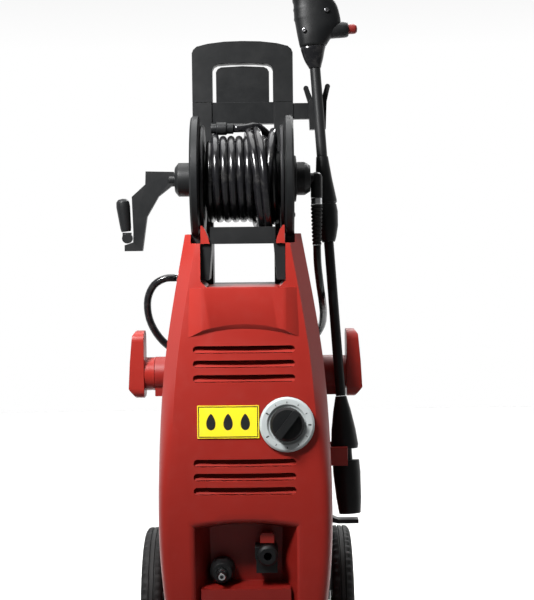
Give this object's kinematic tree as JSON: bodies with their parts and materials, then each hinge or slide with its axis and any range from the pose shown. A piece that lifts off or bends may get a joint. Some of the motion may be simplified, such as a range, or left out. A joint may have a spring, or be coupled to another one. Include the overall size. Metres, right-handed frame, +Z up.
{
  "type": "pressure washer",
  "caption": "Wheeled pressure washer with a hose reel and crank, telescopic handle, spray gun and lance in a holder, cord hooks and front connectors.",
  "frame": {"origin": "on the floor, on the underside of the foot's keel, midway between the wheels", "axes": "+Z up, front of the machine towards -Y, +X to the right seen from the front"},
  "size_m": [0.3431, 0.3498, 1.1391],
  "materials": {
    "red_plastic": "satin moulded plastic",
    "dark_red_plastic": "satin moulded plastic",
    "black_plastic": "fine-grained moulded plastic",
    "black_rubber": "matt rubber",
    "gloss_hose": "smooth glossy hose cover",
    "bright_steel": "brushed",
    "pump_casting": "cast",
    "label_yellow": "printed plate",
    "pale_grey_plastic": "satin moulded plastic"
  },
  "bodies": {
    "washer": {"front_cover": "red_plastic", "nozzle_clip": "red_plastic", "connection_panel": "dark_red_plastic", "hook_socket_left": "dark_red_plastic", "hook_socket_right": "dark_red_plastic", "rear_cover": "black_plastic", "outlet_coupling": "black_plastic", "inlet_coupling": "black_plastic", "base_frame": "black_plastic", "reel_side_plate_left": "black_plastic", "reel_side_plate_right": "black_plastic", "lower_crossbar": "black_plastic", "upper_frame": "black_plastic", "lance_fork": "black_plastic", "swivel_housing": "black_plastic", "swivel_elbow": "black_plastic", "hose_park_clip": "black_plastic", "nozzle_rest": "black_plastic", "switch_body": "black_rubber", "foot": "black_rubber", "hose_strain_relief": "black_rubber", "cable_gland": "black_rubber", "leader_hose": "gloss_hose", "inlet_nipple": "bright_steel", "axle": "bright_steel", "hose_ferrule": "bright_steel", "leader_hose_plug": "bright_steel", "motor": "pump_casting", "pump_head": "pump_casting", "label_plate": "label_yellow", "switch_bezel": "pale_grey_plastic"},
    "handle": {"handle_loop": "black_plastic", "handle_tube_left": "bright_steel", "handle_tube_right": "bright_steel"},
    "reel": {"drum": "black_plastic", "hose_winding": "gloss_hose", "hose_end_connector": "black_plastic", "crank_hub": "black_plastic", "crank_arm": "black_plastic"},
    "grip_arm": {"grip_pivot": "black_plastic"},
    "grip": {"crank_grip": "black_plastic"},
    "knob": {"switch_knob": "black_plastic"},
    "wheel_left": {"tyre_left": "black_rubber", "rim_left": "black_plastic"},
    "wheel_right": {"tyre_right": "black_rubber", "rim_right": "black_plastic"},
    "hook_left": {"cord_hook_left": "red_plastic"},
    "hook_right": {"cord_hook_right": "red_plastic"},
    "lance": {"lance_tube_upper": "black_plastic", "lance_coupling": "black_plastic", "lance_bulb": "black_plastic", "lance_tube_lower": "black_plastic", "nozzle_cone": "black_plastic", "gun_body": "black_plastic", "gun_inlet_cap": "dark_red_plastic"},
    "nozzle": {"nozzle_head": "black_plastic"},
    "trigger": {"gun_trigger": "black_plastic"},
    "lock": {"trigger_lock": "red_plastic"},
    "outlet_release": {"outlet_release_tab": "red_plastic"},
    "fan": {"motor_fan": "black_rubber"}
  },
  "joints": [
    {"name": "handle_slide", "type": "slide", "parent": "washer", "child": "handle", "axis": [0, 0, 1], "range_m": [0, 0.22]},
    {"name": "reel_spin", "type": "hinge", "parent": "washer", "child": "reel", "pos_m": [0, -0.005, 0.74], "axis": [1, 0, 0], "continuous": true},
    {"name": "grip_fold", "type": "hinge", "parent": "reel", "child": "grip_arm", "pos_m": [-0.1615, -0.005, 0.6595], "axis": [0, -1, 0], "range_deg": [0, 84]},
    {"name": "grip_spin", "type": "hinge", "parent": "grip_arm", "child": "grip", "pos_m": [-0.1621, -0.005, 0.6595], "axis": [-0.1045, 0, 0.9945], "continuous": true},
    {"name": "knob_turn", "type": "hinge", "parent": "washer", "child": "knob", "pos_m": [0.057, -0.09986, 0.4095], "axis": [0, -0.9929, 0.1191], "range_deg": [0, 90]},
    {"name": "wheel_left_spin", "type": "hinge", "parent": "washer", "child": "wheel_left", "pos_m": [-0.1355, 0.09, 0.115], "axis": [1, 0, 0], "continuous": true},
    {"name": "wheel_right_spin", "type": "hinge", "parent": "washer", "child": "wheel_right", "pos_m": [0.1355, 0.09, 0.115], "axis": [1, 0, 0], "continuous": true},
    {"name": "cord_hook_left_turn", "type": "hinge", "parent": "washer", "child": "hook_left", "pos_m": [-0.13, 0.055, 0.4635], "axis": [-1, 0, 0], "range_deg": [0, 180]},
    {"name": "cord_hook_right_turn", "type": "hinge", "parent": "washer", "child": "hook_right", "pos_m": [0.13, 0.055, 0.4635], "axis": [-1, 0, 0], "range_deg": [0, 180]},
    {"name": "lance_release", "type": "slide", "parent": "washer", "child": "lance", "axis": [1, 0, 0], "range_m": [0, 0.12]},
    {"name": "nozzle_twist", "type": "hinge", "parent": "lance", "child": "nozzle", "pos_m": [0.1401, 0, 0.3516], "axis": [-0.064, 0.1222, 0.9904], "range_deg": [0, 90]},
    {"name": "trigger_pull", "type": "hinge", "parent": "lance", "child": "trigger", "pos_m": [0.12487, 0.08074, 1.00601], "axis": [0, -0.9925, 0.1225], "range_deg": [0, 10], "stiffness_Nm_per_rad": 0.4, "springref_deg": -8.59},
    {"name": "trigger_lock_slide", "type": "slide", "parent": "lance", "child": "lock", "axis": [0, 0.9925, -0.1225], "range_m": [0, 0.003]},
    {"name": "outlet_release_press", "type": "slide", "parent": "washer", "child": "outlet_release", "axis": [0, 1, 0], "range_m": [0, 0.004], "stiffness_N_per_m": 300, "springref_m": -0.002},
    {"name": "fan_spin", "type": "hinge", "parent": "washer", "child": "fan", "pos_m": [0, 0.02, 0.448], "axis": [0, 0, 1], "continuous": true}
  ]
}
